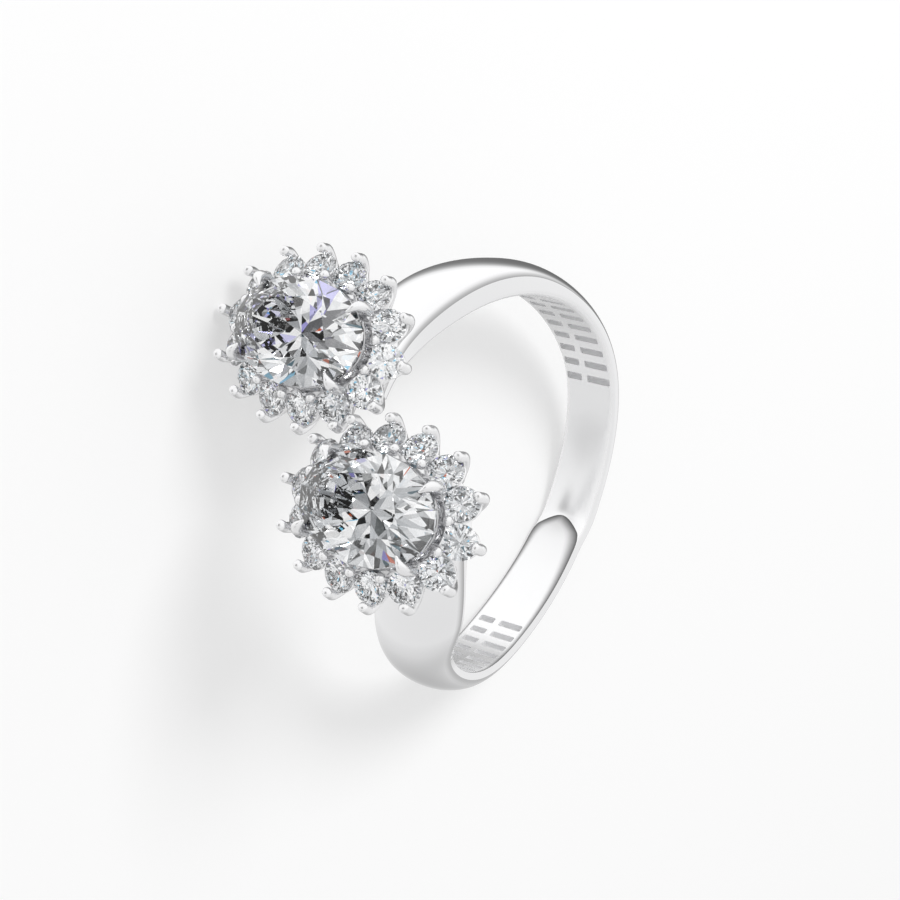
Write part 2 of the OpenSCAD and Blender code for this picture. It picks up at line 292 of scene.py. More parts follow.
def cut(mesh, tool_mesh):
    """The mesh less the tool's solids, by a Boolean that is applied at once."""
    body, tool = linked("cut_body", mesh), linked("cut_tool", tool_mesh)
    modifier = body.modifiers.new("cut", "BOOLEAN")
    modifier.object = tool
    modifier.operation = "DIFFERENCE"
    modifier.solver = "EXACT"
    graph = bpy.context.evaluated_depsgraph_get()
    result = bpy.data.meshes.new_from_object(body.evaluated_get(graph))
    bpy.data.objects.remove(body)
    bpy.data.objects.remove(tool)
    return result


def piece(name, mesh, place, materials, slot, *nodes, crisp=35):
    """A shown piece: its mesh goes to the row frame, and edges over the crisp angle stay crisp."""
    mesh.transform(place)
    for i, material in enumerate(materials):
        if i < len(mesh.materials):
            mesh.materials[i] = material
        else:
            mesh.materials.append(material)
    if crisp:
        mesh.shade_smooth()
        mesh.set_sharp_from_angle(angle=math.radians(crisp))
    made = linked(name, mesh)
    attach(made, "root")
    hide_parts(*nodes)


def smooth_rows(rows, steps):
    """A smooth curve through the rows, with the given number of steps between two of them."""
    rows = [Vector(r) for r in rows]
    made = []
    for i in range(len(rows) - 1):
        before, start = rows[max(i - 1, 0)], rows[i]
        end, after = rows[i + 1], rows[min(i + 2, len(rows) - 1)]
        for j in range(steps):
            t = j / steps
            made.append(0.5 * (2 * start + t * (end - before)
                               + t * t * (2 * before - 5 * start + 4 * end - after)
                               + t ** 3 * (3 * start - before - 3 * end + after)))
    return made + [rows[-1]]


def wire(shape, rows, place, sides=20, steps=6, tip=1.0, tip_steps=6):
    """A wire along a path in the XZ plane, with a domed tip. Columns of a row: place outward,
    place upward, half thickness across the path, half width along Y."""
    dome_end = 0.995
    fine = smooth_rows(rows, steps)
    rings = []
    for i, row in enumerate(fine):
        before, after = fine[max(i - 1, 0)], fine[min(i + 1, len(fine) - 1)]
        along = Vector((after[0] - before[0], after[1] - before[1])).normalized()
        rings.append(wire_ring(row, along, 0, 1, sides))
    for j in range(1, tip_steps + 1):
        dome = math.pi / 2 * min(j / tip_steps, dome_end)
        rings.append(wire_ring(fine[-1], along, tip * math.sin(dome), math.cos(dome), sides))
    shape.skin(rings, place)


def wire_ring(row, along, ahead, share, sides):
    out, up, thick, wide = row
    ring = []
    for k in range(sides):
        t = 2 * math.pi * (k + 0.5) / sides
        across = thick * share * math.cos(t)
        reach = ahead * min(thick, wide)
        ring.append((out + reach * along.x - across * along.y, wide * share * math.sin(t),
                     up + reach * along.y + across * along.x))
    return ring


def rounded(outline, radii, steps=5):
    """The outline of a section with its corners rounded. Each corner has its own radius."""
    most = 0.49  # share of a side that one corner takes at most
    made = []
    count = len(outline)
    for i, radius in enumerate(radii):
        before, corner, after = (Vector(outline[(i + d) % count]) for d in (-1, 0, 1))
        to_before, to_after = (before - corner).normalized(), (after - corner).normalized()
        half = to_before.angle(to_after) / 2
        reach = min(radius / math.tan(half), most * (before - corner).length, most * (after - corner).length)
        start, end = corner + reach * to_before, corner + reach * to_after
        for j in range(steps + 1):
            t = j / steps
            made.append((1 - t) ** 2 * start + 2 * t * (1 - t) * corner + t * t * end)
    return made


def oval_section(k, outline):
    """Section of a head's oval ring at stone k, from an outline of [outward, up] points."""
    centre, out = halo_centre(k), oval_normal(HALO_A, HALO_B, halo_angle(k))
    return [(centre.x + p[0] * out.x, centre.y + p[0] * out.y, p[1]) for p in outline]


# Shank

def band_value(column, angle):
    """Smooth value of one column of the band table."""
    i = max([i for i in range(len(BAND) - 1) if BAND[i][ANGLE] <= angle] or [0])
    step = BAND[i + 1][ANGLE] - BAND[i][ANGLE]
    t = (angle - BAND[i][ANGLE]) / step
    slopes = [0 if j in (0, len(BAND) - 1) else (BAND[j + 1][column] - BAND[j - 1][column])
              / (BAND[j + 1][ANGLE] - BAND[j - 1][ANGLE]) for j in (i, i + 1)]
    return ((2 * t ** 3 - 3 * t * t + 1) * BAND[i][column] + (3 * t * t - 2 * t ** 3) * BAND[i + 1][column]
            + (t ** 3 - 2 * t * t + t) * step * slopes[0] + (t ** 3 - t * t) * step * slopes[1])


def ramp(start, end, angle):
    """From 0 before the start to 1 after the end."""
    t = max(0.0, min(1.0, (angle - start) / (end - start)))
    return t * t * (3 - 2 * t)


def inner_round(angle):
    return BACK_ROUND * (1 - ramp(0, 45, abs(angle - 180)))


def inner_radius(angle):
    return FINGER_R + band_value(RISE, angle) - BORE_BITE * ramp(180, 192, angle)


def angle_of(point):
    """Angle from the crown, where the band's table starts, to a point in the ring's frame."""
    return math.degrees(math.atan2(-point.x, -point.y)) % 360


def out_of_ring(polygon):
    """The way straight out from the finger axis at a face's middle."""
    return Vector((polygon.center.x, polygon.center.y, 0)).normalized()


def ring_point(angle, radius, along):
    t = math.radians(angle)
    return (-radius * math.sin(t), -radius * math.cos(t), along)


def side_wall(angle, side):
    """Height of the side wall above the inner face, on the upper side (1) or the lower side (-1)."""
    return band_value(UPPER_WALL if side > 0 else LOWER_WALL, angle)


def inner_profile(angle, way, side):
    """One side of the section's inside, from the middle at way 0 to the top of the side wall at
    way 1: the share of the half width and the distance from the finger axis."""
    flat_end, round_end = 0.35, 0.85
    low, radius = inner_round(angle), inner_radius(angle)
    if way <= flat_end:
        share = INNER_FLAT * way / flat_end
        return share, radius + low * share ** 2
    if way <= round_end:
        bend = math.pi / 2 * (way - flat_end) / (round_end - flat_end)
        share = INNER_FLAT + (1 - INNER_FLAT) * math.sin(bend)
        return share, radius + low * share ** 2 + EDGE_ROUNDING * (1 - math.cos(bend))
    foot = low + EDGE_ROUNDING
    return 1.0, radius + foot + (side_wall(angle, side) - foot) * (way - round_end) / (1 - round_end)


def bore_edge(angle, side):
    """How far along the inner profile the finger hole's wall reaches, or 0 where it doesn't cut it."""
    low, high = 0.0, 1.0
    if inner_profile(angle, low, side)[1] >= FINGER_R:
        return low
    for _ in range(40):
        middle = (low + high) / 2
        cuts = inner_profile(angle, middle, side)[1] < FINGER_R
        low, high = (middle, high) if cuts else (low, middle)
    return high


def inside_half(angle, side):
    """One side of the section's inside, with the finger hole's wall where that cuts it."""
    bored_steps, raw_steps = 4, 20
    edge = bore_edge(angle, side)
    reach, radius = inner_profile(angle, edge, side)
    half = [(reach * i / bored_steps, max(FINGER_R, radius)) for i in range(bored_steps)]
    half += [inner_profile(angle, edge + (1 - edge) * i / raw_steps, side) for i in range(raw_steps + 1)]
    return [(side * share, radius) for share, radius in half]


def band_section(angle):
    """Section of the band as [share of the half width, distance from the finger axis]."""
    dome_steps = 30
    upper, lower = side_wall(angle, 1), side_wall(angle, -1)
    base, lean = (upper + lower) / 2, (upper - lower) / 2
    dome = band_value(HEIGHT, angle) - base
    crown = []
    for i in range(1, dome_steps):
        share = math.cos(math.pi * i / dome_steps)
        above = base + lean * share + dome * (1 - share ** 2) ** DOME_POWER
        crown.append((share, inner_radius(angle) + above))
    return inside_half(angle, 1) + crown + inside_half(angle, -1)[:0:-1]


def band_angles():
    """Angles of the sections, closer together where the finger hole's cut begins in its round tip."""
    coarse, fine, tip_start, tip_end = 1.5, 0.2, 181.6, 190
    angles = [SHOULDER_END + coarse * i for i in range(int((360 - 2 * SHOULDER_END) / coarse) + 1)]
    tip = [tip_start + fine * i for i in range(int((tip_end - tip_start) / fine) + 1)]
    return sorted([a for a in angles if not tip_start <= a <= tip_end] + tip)


def band_shape():
    shape = Shape()
    rings = []
    for angle in band_angles():
        middle, half = band_value(OFFSET, angle), band_value(HALF_WIDTH, angle)
        rings.append([ring_point(angle, radius, middle + half * share)
                      for share, radius in band_section(angle)])
    shape.skin(rings)
    return shape


def pocket(shape, angle, low, length):
    """Tool for one blind pocket, with slightly rounded corners, cut outward from the finger hole."""
    start, end = FINGER_R - BORE_BITE - 0.15, FINGER_R + POCKET_DEPTH
    across, corner = POCKET_WIDTH / 2, 0.09
    outline = rounded([(-across, low), (across, low), (across, low + length), (-across, low + length)],
                      [corner] * 4, 4)
    place = turn(-90 - angle, "Z")
    middle = low + length / 2
    rings = []
    for radius, share in ((start, 1), (end - 0.08, 1), (end, 0.8)):
        rings.append([(radius, share * p[0], middle + share * (p[1] - middle) + band_value(OFFSET, angle))
                      for p in outline])
    shape.skin(rings, place)


def shoulder_pockets():
    shape = Shape()
    for i in range(POCKET_COUNT):
        for side in (-1, 1):
            angle = 180 + side * (180 - POCKET_LAST + i * POCKET_PITCH)
            middle = POCKET_RIB / 2
            pocket(shape, angle, middle - POCKET_RIB_BELOW, POCKET_UPPER_LENGTH)
            pocket(shape, angle, -middle - POCKET_RIB_BELOW - POCKET_LOWER_LENGTH, POCKET_LOWER_LENGTH)
    return shape


def on_bore(point, tolerance):
    return abs(math.hypot(point.x, point.y) - FINGER_R) < tolerance


def keep_bore_edge(mesh):
    """The edge where the finger hole's wall cuts the band stays crisp, however flat it is."""
    work = bmesh.new()
    work.from_mesh(mesh)
    tolerance = 2e-4
    walls = {face.index for face in work.faces if all(on_bore(v.co, tolerance) for v in face.verts)}
    for edge in work.edges:
        if sum(face.index in walls for face in edge.link_faces) == 1:
            edge.smooth = False
    work.to_mesh(mesh)
    work.free()


def cut_depth(angle, share):
    """How far a place of the finger hole's cut lies inside the cut's rim, in widths of its shade."""
    past_tip = max(0.0, angle - CUT_TIP)
    above, below = [inner_profile(angle, bore_edge(angle, side), side)[0] - side * share for side in (1, -1)]
    above *= 1 + past_tip / CUT_SHADE_RUN_ABOVE
    below *= 1 + past_tip / CUT_SHADE_RUN_BELOW
    return min(above, below) * band_value(HALF_WIDTH, angle) / CUT_SHADE_WIDTH


def crease_depth(angle, share):
    """How far a place of the dome lies from the crease beside the side wall, in widths of its shade."""
    return CREASE_SHADE_START + (1 - abs(share)) * band_value(HALF_WIDTH, angle) / CREASE_SHADE_WIDTH


def shade_rims(mesh):
    """Keeps the depths inside the cut and inside the dome's creases for the painted shade in the metal's
    colour there.
    """
    tolerance, faces_out = 1e-3, 0.1
    depth = mesh.attributes.new("rim_depth", "FLOAT", "CORNER")
    for polygon in mesh.polygons:
        corners = [mesh.vertices[i].co for i in polygon.vertices]
        in_cut = angle_of(polygon.center) > CUT_TIP and all(on_bore(co, tolerance) for co in corners)
        on_dome = polygon.normal.dot(out_of_ring(polygon)) > faces_out
        for loop, co in zip(polygon.loop_indices, corners):
            angle = min(max(angle_of(co), BAND[0][ANGLE]), BAND[-1][ANGLE])
            share = (co.z - band_value(OFFSET, angle)) / band_value(HALF_WIDTH, angle)
            depth.data[loop].value = (cut_depth(angle, share) if in_cut else
                                      crease_depth(angle, share) if on_dome else UNSHADED)


def soften_inside(mesh):
    """Gives the inside of the band, which rubs on the finger, the softer finish of slot 2."""
    faces_in = -0.6
    for polygon in mesh.polygons:
        if polygon.material_index == 0 and polygon.normal.dot(out_of_ring(polygon)) < faces_in:
            polygon.material_index = 2


def make_shank(metal, satin, inside):
    """The band, with a satin finish in its pockets and a softer polish inside."""
    band, pockets = band_shape().mesh("shank"), shoulder_pockets().mesh("pockets")
    for mesh in (band, pockets):
        for _ in range(3):
            mesh.materials.append(None)
    for polygon in pockets.polygons:
        polygon.material_index = 1
    mesh = cut(band, pockets)
    shade_rims(mesh)
    soften_inside(mesh)
    mesh.shade_smooth()
    mesh.set_sharp_from_angle(angle=math.radians(30))
    keep_bore_edge(mesh)
    piece("shank", mesh, ring_to_row(), [metal, satin, inside], "white_metal", "ring_metal", crisp=0)


# Heads

def head_name(upper):
    return "upper_head" if upper else "lower_head"


def head_piece(name, upper, mesh, metal, **looks):
    piece(f"{head_name(upper)}_{name}", mesh, ring_to_row() @ head_to_ring(upper), [metal],
          "white_metal", "ring_metal", **looks)


def seat_top(out):
    return -SEAT_DROP - out * math.tan(HALO_CANT)


def scallop(k):
    """How far the seats' plate reaches outward at stone k, round the circle of the nearest stone."""
    radius, least = HALO_R - 0.06, 0.2
    nearest = round(k)
    out = oval_normal(HALO_A, HALO_B, halo_angle(k))
    gap = halo_centre(k) - halo_centre(nearest)
    half = gap.dot(out)
    return max(least, -half + math.sqrt(max(0.0, half ** 2 - gap.length_squared + radius ** 2)))


def seat_hole(shape, k):
    """Tool for the hole that a stone's pavilion drops into, open below."""
    sides = 32
    rim, waist, waist_drop = 0.8 * HALO_R + SEAT_CLEARANCE, 0.31, 0.42
    rim_drop = SEAT_DROP * math.cos(HALO_CANT) - 0.02
    loops = [[(radius * math.cos(2 * math.pi * i / sides), radius * math.sin(2 * math.pi * i / sides), -drop)
              for i in range(sides)]
             for radius, drop in ((rim, rim_drop), (waist, waist_drop), (waist, waist_drop + 0.6))]
    shape.skin(loops, halo_to_head(k, HALO_CANT))


def make_seats(upper, metal):
    """Plate of seats, scalloped round the halo stones, with a hole under each."""
    plate, holes = Shape(), Shape()
    per_stone = 12
    inner = -HALO_R - 0.1
    sections = []
    for i in range(HALO_COUNT * per_stone):
        k = i / per_stone
        edge = scallop(k)
        outline = [(edge, seat_top(edge)), (inner, seat_top(inner)), (inner, -0.5),
                   (edge - 0.25, seat_top(edge) - 0.35)]
        sections.append(oval_section(k, rounded(outline, (0.06, 0.02, 0.02, 0.08), 3)))
    plate.skin(sections, around=True)
    for k in range(HALO_COUNT):
        seat_hole(holes, k)
    mesh = cut(plate.mesh("seats"), holes.mesh("holes"))
    head_piece("seats", upper, mesh, metal, crisp=40)


def oval_piece(name, upper, outline, metal, per_stone=10):
    """A smooth oval ring with one section all the way round."""
    shape = Shape()
    shape.skin([oval_section(i / per_stone, outline) for i in range(HALO_COUNT * per_stone)], around=True)
    head_piece(name, upper, shape.mesh(name), metal)


def make_rail(upper, metal):
    """Polished rail with a rounded top, under the centre stone's girdle."""
    outer, top = 0.01 - HALO_R, GIRDLE_UP - 0.16
    inner = outer - 0.31
    outline = rounded([(outer, top), (inner, top - 0.27), (inner, -0.5), (outer, -0.5)],
                      (0.16, 0.06, 0.03, 0.03), 6)
    oval_piece("rail", upper, outline, metal)


def make_base(upper, metal):
    """Base rail, with the collar below it that joins it to the shoulder."""
    rail, low = -BASE_INSET, -BASE_DEPTH - COLLAR_DEPTH
    outline = rounded([(rail + 0.28, -BASE_DEPTH - 0.1), (rail + 0.12, -BASE_DEPTH + 0.24),
                       (rail - 0.2, -BASE_DEPTH + 0.24), (rail - 0.4, -BASE_DEPTH - 0.1),
                       (rail - 0.85, low), (rail - 0.35, low)], (0.2, 0.12, 0.12, 0.2, 0.05, 0.05), 5)
    oval_piece("base", upper, outline, metal)


def make_prongs(upper, metal):
    """Rods that bulge out from the base rail to their domed tips at the stones' outer edges."""
    wide, thick = PRONG_R, 0.92 * PRONG_R
    rows = [(-BASE_INSET, -BASE_DEPTH, thick, wide), (-0.35, -1.5, thick, wide), (0.4, -0.85, thick, wide),
            (0.8, -0.3, thick, wide), (0.79, 0, thick, wide), (0.75, 0.22, thick, wide)]
    shape = Shape()
    for k in range(HALO_COUNT):
        wire(shape, rows, halo_to_head(k), tip=0.4)
    head_piece("prongs", upper, shape.mesh("prongs"), metal)


def make_beads(upper, metal):
    """Domed beads on thin stems between the inner edges of two stones."""
    rows = [(-0.5, -0.2, 0.1, 0.1), (-0.44, 0.3, 0.11, 0.09), (-0.38, 0.54, BEAD_R, BEAD_R),
            (-0.375, 0.58, BEAD_R, BEAD_R)]
    shape = Shape()
    for k in BEAD_GAPS:
        wire(shape, rows, halo_to_head(k), tip=0.7)
    head_piece("beads", upper, shape.mesh("beads"), metal)


def make_claws(upper, metal):
    """Claws that rise between two stones and bend in over the centre stone's crown to a point."""
    rows = [(-0.5, -0.3, 0.12, 0.1), (-0.46, 0.36, 0.13, 0.1), (-0.38, 0.56, CLAW_R - 0.02, CLAW_R + 0.03),
            (-0.36, 1.16, CLAW_R, CLAW_R + 0.03), (-0.52, 1.42, CLAW_R - 0.03, CLAW_R - 0.02),
            (-0.84, 1.52, 0.06, 0.07)]
    shape = Shape()
    for k in CLAW_GAPS:
        wire(shape, rows, halo_to_head(k), sides=24, steps=7, tip=1.5)
    head_piece("claws", upper, shape.mesh("claws"), metal)


# Stones

def brilliant(a, b, table, crown, girdle, pavilion, mains):
    """A brilliant cut: table, stars, kites and upper halves above the girdle, mains and lower halves
    below it. Gives the points, the faces and the number of faces above the pavilion."""
    step = 2 * math.pi / mains
    half_step = step / 2
    top, bottom = girdle / 2, -girdle / 2
    star = (table * math.cos(half_step) + 1) / 2
    star_up = top + crown * (1 - star * math.cos(half_step)) / (1 - table)
    lower = 0.24
    lower_down = bottom - pavilion * (1 - lower * math.cos(half_step))

    def loop(share, z, count, shift=0.0):
        return [(a * share * math.cos((i + shift) * 2 * math.pi / count),
                 b * share * math.sin((i + shift) * 2 * math.pi / count), z) for i in range(count)]

    halves = 2 * mains
    points = (loop(table, top + crown, mains) + loop(star, star_up, mains, 0.5) + loop(1, top, halves)
              + loop(1, bottom, halves) + loop(lower, lower_down, mains, 0.5) + [(0, 0, bottom - pavilion)])
    table_at, star_at, top_at = 0, mains, 2 * mains
    bottom_at, lower_at, culet = 4 * mains, 6 * mains, 7 * mains
    faces = [tuple(range(mains))]
    for i in range(mains):
        j = (i + 1) % mains
        h = (i - 1) % mains
        faces.append((table_at + i, star_at + i, table_at + j))
        faces.append((table_at + i, star_at + h, top_at + 2 * i, star_at + i))
        faces.append((star_at + i, top_at + 2 * i, top_at + 2 * i + 1))
        faces.append((star_at + i, top_at + 2 * i + 1, top_at + 2 * j))
    for i in range(halves):
        j = (i + 1) % halves
        faces.append((top_at + i, bottom_at + i, bottom_at + j, top_at + j))
    above = len(faces)
    for i in range(mains):
        j = (i + 1) % mains
        h = (i - 1) % mains
        faces.append((culet, lower_at + i, bottom_at + 2 * i, lower_at + h))
        faces.append((lower_at + i, bottom_at + 2 * i + 1, bottom_at + 2 * i))
        faces.append((lower_at + i, bottom_at + 2 * j, bottom_at + 2 * i + 1))
    return points, faces, above


def stone_mesh(name, cut_shape, seed):
    """Mesh of a cut stone. Its pavilion takes the second material, and each facet has its own value."""
    points, faces, above = cut_shape
    mesh = bpy.data.meshes.new(name)
    mesh.from_pydata(points, [], faces)
    draw = random.Random(seed)
    facet = mesh.attributes.new("facet", "FLOAT", "FACE")
    for i, polygon in enumerate(mesh.polygons):
        polygon.material_index = 0 if i < above else 1
        facet.data[i].value = draw.random()
    return turn_faces_out(mesh)


def make_centre_stone(upper, materials):
    """Oval brilliant in the middle of a head. The seed draws its facets' values."""
    shape = brilliant(CENTRE_LENGTH / 2, CENTRE_WIDTH / 2, table=0.58, crown=0.16 * CENTRE_WIDTH,
                      girdle=0.12, pavilion=0.42 * CENTRE_WIDTH, mains=8)
    place = ring_to_row() @ head_to_ring(upper) @ Matrix.Translation((0, 0, GIRDLE_UP))
    node = "centre_stone_upper" if upper else "centre_stone_lower"
    name = f"{head_name(upper)}_centre_brilliant"
    piece(name, stone_mesh(name, shape, 11 + upper), place, materials, "centre_stone", node, crisp=0)


def make_halo_stone(upper, k, materials):
    """Round brilliant at place k of the halo, turned its own way. The seed draws its facets' values."""
    shape = brilliant(HALO_R, HALO_R, table=0.56, crown=0.3 * HALO_R, girdle=0.05,
                      pavilion=0.84 * HALO_R, mains=8)
    place = (ring_to_row() @ head_to_ring(upper) @ halo_to_head(k, HALO_CANT)
             @ turn(STONE_TURN * k, "Z"))
    node = f"halo_stone_{'upper' if upper else 'lower'}_{k + 1:02d}"
    name = f"{head_name(upper)}_brilliant_{k + 1:02d}"
    piece(name, stone_mesh(name, shape, 100 * upper + k), place, materials, "halo_stone", node, crisp=0)


# Materials

def material(name):
    made = bpy.data.materials.new(name)
    made.use_nodes = True
    tree = made.node_tree
    return made, tree, tree.nodes["Principled BSDF"]


def link(tree, start, end):
    tree.links.new(start, end)


def group_socket(group, name, kind, way="INPUT", value=None):
    socket = group.interface.new_socket(name=name, in_out=way, socket_type=f"NodeSocket{kind}")
    if value is not None:
        socket.default_value = value


def polish_group():
    """Hand polish: faint drag lines of the mop, a little haze, and the tone of the plating."""
    group = bpy.data.node_groups.new("hand_polish", "ShaderNodeTree")
    group_socket(group, "Tone", "Color", value=(0.9, 0.9, 0.91, 1))
    group_socket(group, "Shade", "Color", value=(0.8, 0.8, 0.82, 1))
    group_socket(group, "Drag Scale", "Float", value=900.0)
    group_socket(group, "Least Roughness", "Float", value=0.03)
    group_socket(group, "Most Roughness", "Float", value=0.09)
    group_socket(group, "Colour", "Color", "OUTPUT")
    group_socket(group, "Roughness", "Float", "OUTPUT")
    group_socket(group, "Height", "Float", "OUTPUT")
    nodes = group.nodes
    inputs, outputs = nodes.new("NodeGroupInput"), nodes.new("NodeGroupOutput")
    place = nodes.new("ShaderNodeTexCoord")
    cloud = nodes.new("ShaderNodeTexNoise")
    cloud.inputs["Scale"].default_value = 260
    cloud.inputs["Detail"].default_value = 3
    link(group, place.outputs["Object"], cloud.inputs["Vector"])
    tone = mixed(group, cloud.outputs["Fac"], inputs.outputs["Tone"], inputs.outputs["Shade"])
    stretch = nodes.new("ShaderNodeMapping")
    stretch.inputs["Scale"].default_value = (1, 1, 9)
    link(group, place.outputs["Object"], stretch.inputs["Vector"])
    drag = nodes.new("ShaderNodeTexNoise")
    drag.inputs["Detail"].default_value = 5
    link(group, stretch.outputs["Vector"], drag.inputs["Vector"])
    link(group, inputs.outputs["Drag Scale"], drag.inputs["Scale"])
    haze = nodes.new("ShaderNodeMapRange")
    link(group, drag.outputs["Fac"], haze.inputs["Value"])
    link(group, inputs.outputs["Least Roughness"], haze.inputs["To Min"])
    link(group, inputs.outputs["Most Roughness"], haze.inputs["To Max"])
    link(group, tone, outputs.inputs["Colour"])
    link(group, haze.outputs["Result"], outputs.inputs["Roughness"])
    link(group, drag.outputs["Fac"], outputs.inputs["Height"])
    return group


def rim_shade_group():
    """Painted shade in the colour, fading away from a rim or crease."""
    group = bpy.data.node_groups.new("rim_shade", "ShaderNodeTree")
    group_socket(group, "Colour", "Color", value=(0.9, 0.9, 0.91, 1))
    group_socket(group, "Depth", "Float", value=1.0)
    group_socket(group, "Colour", "Color", "OUTPUT")
    inputs, outputs = group.nodes.new("NodeGroupInput"), group.nodes.new("NodeGroupOutput")
    fade = grey_ramp(group, inputs.outputs["Depth"], RIM_SHADES)
    link(group, multiplied(group, inputs.outputs["Colour"], fade), outputs.inputs["Colour"])
    return group


def rim_shaded(metal, group):
    """Adds the painted shade of the rims to a metal's base colour."""
    tree = metal.node_tree
    surface = tree.nodes["Principled BSDF"]
    depth = tree.nodes.new("ShaderNodeAttribute")
    depth.attribute_name = "rim_depth"
    shade = tree.nodes.new("ShaderNodeGroup")
    shade.node_tree = group
    link(tree, surface.inputs["Base Color"].links[0].from_socket, shade.inputs["Colour"])
    link(tree, depth.outputs["Fac"], shade.inputs["Depth"])
    link(tree, shade.outputs["Colour"], surface.inputs["Base Color"])
    return metal


def white_metal(name, polish):
    """White metal with the finish of one row of the metals' table."""
    tone, shade, least, most, relief, metallic = METALS[name]
    made, tree, surface = material(f"{name}_white_metal")
    work = tree.nodes.new("ShaderNodeGroup")
    work.node_tree = polish
    work.inputs["Tone"].default_value = tone
    work.inputs["Shade"].default_value = shade
    work.inputs["Least Roughness"].default_value = least
    work.inputs["Most Roughness"].default_value = most
    bump = tree.nodes.new("ShaderNodeBump")
    bump.inputs["Strength"].default_value = relief
    bump.inputs["Distance"].default_value = 0.02 * MM
    surface.inputs["Metallic"].default_value = metallic
    link(tree, work.outputs["Colour"], surface.inputs["Base Color"])
    link(tree, work.outputs["Roughness"], surface.inputs["Roughness"])
    link(tree, work.outputs["Height"], bump.inputs["Height"])
    link(tree, bump.outputs["Normal"], surface.inputs["Normal"])
    return made


def cloud_colour(tree, surface, scale, first, second):
    """Faint clouds of two near colours as the base colour."""
    cloud = tree.nodes.new("ShaderNodeTexNoise")
    cloud.inputs["Scale"].default_value = scale
    ramp_node = tree.nodes.new("ShaderNodeValToRGB")
    ramp_node.color_ramp.elements[0].color = first
    ramp_node.color_ramp.elements[1].color = second
    link(tree, cloud.outputs["Fac"], ramp_node.inputs["Fac"])
    link(tree, ramp_node.outputs["Color"], surface.inputs["Base Color"])


def crown_glass(name):
    """The clear crown of a stone, with the faintest cloud in its colour."""
    made, tree, surface = material(name)
    cloud_colour(tree, surface, 400, (1, 1, 1, 1), CROWN_TINT)
    surface.inputs["Roughness"].default_value = 0.0
    surface.inputs["IOR"].default_value = CROWN_IOR
    surface.inputs["Transmission Weight"].default_value = 1.0
    surface.inputs["Specular IOR Level"].default_value = CROWN_SHINE
    return made


def pavilion_mirror(name, stops):
    """The pavilion facets, which throw the light back. Each facet has one colour of the ramp, a painted
    reflection: white, grey, dark or a colour of painted fire.
    """
    made, tree, surface = material(name)
    facet = tree.nodes.new("ShaderNodeAttribute")
    facet.attribute_name = "facet"
    link(tree, colour_ramp(tree, facet.outputs["Fac"], stops, "CONSTANT"), surface.inputs["Base Color"])
    surface.inputs["Metallic"].default_value = 1.0
    surface.inputs["Roughness"].default_value = 0.0
    return made


# Studio

def make_floor():
    """Plain pale floor, with the faintest unevenness in its colour."""
    size = 400 * MM
    mesh = bpy.data.meshes.new("floor")
    mesh.from_pydata([(-size, -size, 0), (size, -size, 0), (size, size, 0), (-size, size, 0)], [],
                     [(0, 1, 2, 3)])
    made, tree, surface = material("pale_floor")
    cloud_colour(tree, surface, 8, *FLOOR_TONES)
    surface.inputs["Roughness"].default_value = 0.9
    surface.inputs["Specular IOR Level"].default_value = 0.1
    surface.inputs["Emission Color"].default_value = (1, 1, 1, 1)
    surface.inputs["Emission Strength"].default_value = FLOOR_GLOW
    mesh.materials.append(made)
    floor = linked("floor", mesh)
    floor.visible_glossy = False
    floor.visible_transmission = False


def colour_mix(tree, first, second):
    mix = tree.nodes.new("ShaderNodeMix")
    mix.data_type = "RGBA"
    link(tree, first, mix.inputs["A"])
    link(tree, second, mix.inputs["B"])
    return mix


def mixed(tree, factor, first, second):
    mix = colour_mix(tree, first, second)
    link(tree, factor, mix.inputs["Factor"])
    return mix.outputs["Result"]


def multiplied(tree, first, second):
    mix = colour_mix(tree, first, second)
    mix.blend_type = "MULTIPLY"
    mix.inputs["Factor"].default_value = 1
    return mix.outputs["Result"]


def colour_ramp(tree, value, stops, interpolation="LINEAR"):
    """Colours that change with a value from 0 to 1."""
    ramp_node = tree.nodes.new("ShaderNodeValToRGB")
    ramp_node.color_ramp.interpolation = interpolation
    elements = ramp_node.color_ramp.elements
    elements.remove(elements[1])
    for i, (place, colour) in enumerate(stops):
        element = elements[0] if i == 0 else elements.new(place)
        element.position = place
        element.color = (*colour, 1)
    link(tree, value, ramp_node.inputs["Fac"])
    return ramp_node.outputs["Color"]


def grey_ramp(tree, value, stops):
    return colour_ramp(tree, value, [(place, (grey, grey, grey)) for place, grey in stops])


def shards_of_light(tree, direction):
    """What the cut stones mirror: a studio broken into light, dark and coloured shards."""
    cells = tree.nodes.new("ShaderNodeTexVoronoi")
    cells.inputs["Scale"].default_value = SHARD_SCALE
    shift = tree.nodes.new("ShaderNodeMapping")
    shift.inputs["Location"].default_value = SHARD_SHIFT
    link(tree, direction, shift.inputs["Vector"])
    link(tree, shift.outputs["Vector"], cells.inputs["Vector"])
    split = tree.nodes.new("ShaderNodeSeparateColor")
    link(tree, cells.outputs["Color"], split.inputs["Color"])
    return colour_ramp(tree, split.outputs["Red"], SHARDS, "CONSTANT")


def towards(tree, direction, way):
    """How far a direction of the world points a given way: 0 is straight away from it, 1 straight to it."""
    dot = tree.nodes.new("ShaderNodeVectorMath")
    dot.operation = "DOT_PRODUCT"
    link(tree, direction, dot.inputs[0])
    dot.inputs[1].default_value = way
    half = tree.nodes.new("ShaderNodeMath")
    half.operation = "MULTIPLY_ADD"
    half.inputs[1].default_value = 0.5
    half.inputs[2].default_value = 0.5
    link(tree, dot.outputs["Value"], half.inputs[0])
    return half.outputs["Value"]


